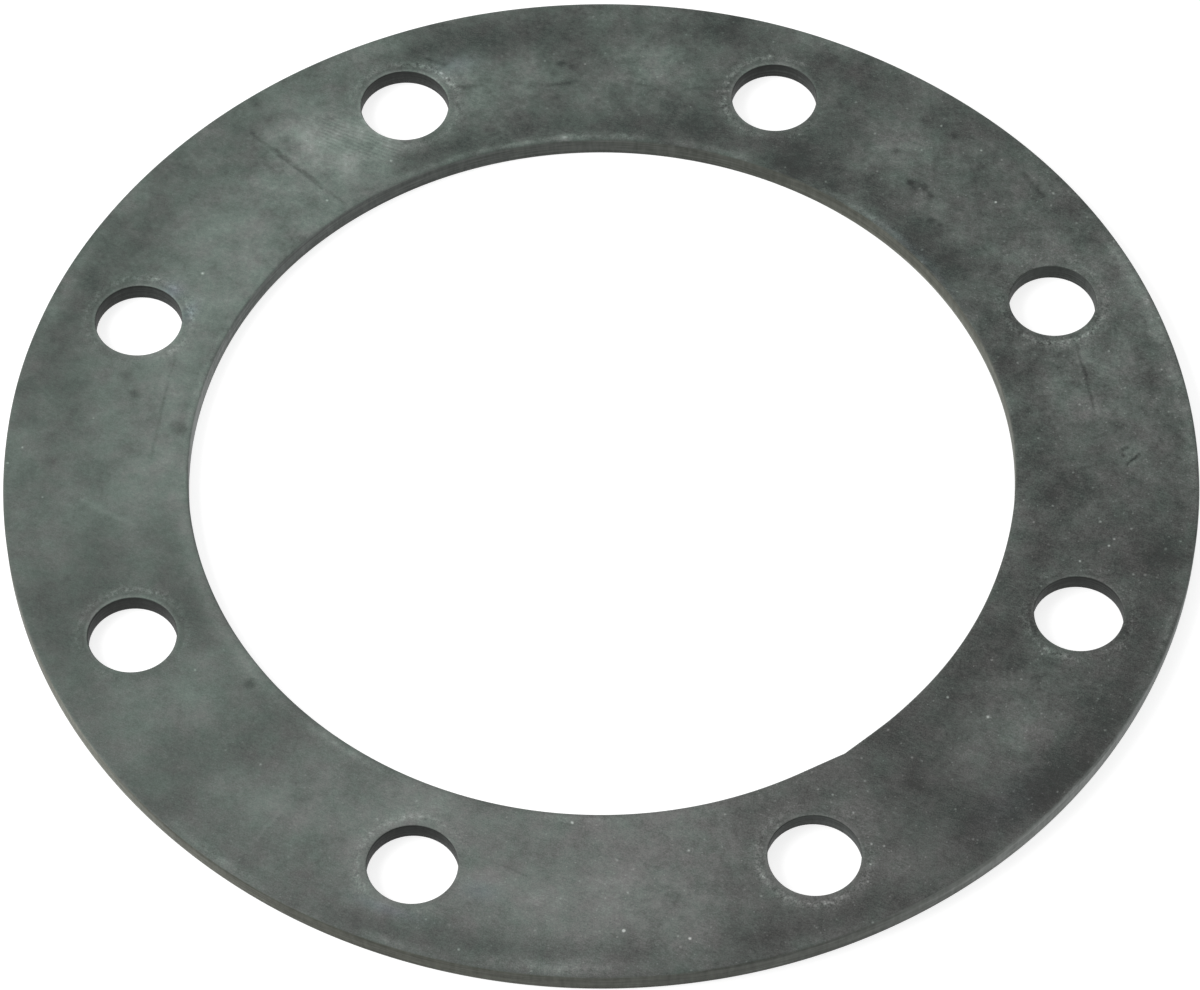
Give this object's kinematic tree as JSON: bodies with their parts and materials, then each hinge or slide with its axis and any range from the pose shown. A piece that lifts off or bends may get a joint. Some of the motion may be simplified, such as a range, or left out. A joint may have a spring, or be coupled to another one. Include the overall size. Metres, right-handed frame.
{
  "type": "flange gasket",
  "caption": "Flat round rubber ring gasket for a bolted flange, with a wide bore and a circle of evenly spaced bolt holes.",
  "frame": {"origin": "on the bore's axis, in the underside that the gasket lies on", "axes": "+Z is the axis of the ring, up through the sheet; +X points midway between two bolt holes"},
  "size_m": [0.178, 0.178, 0.0032],
  "materials": {
    "black_rubber": "matte, dusty sheet rubber with dark die-cut edges"
  },
  "bodies": {
    "root": {"gasket": "black_rubber"}
  },
  "joints": []
}
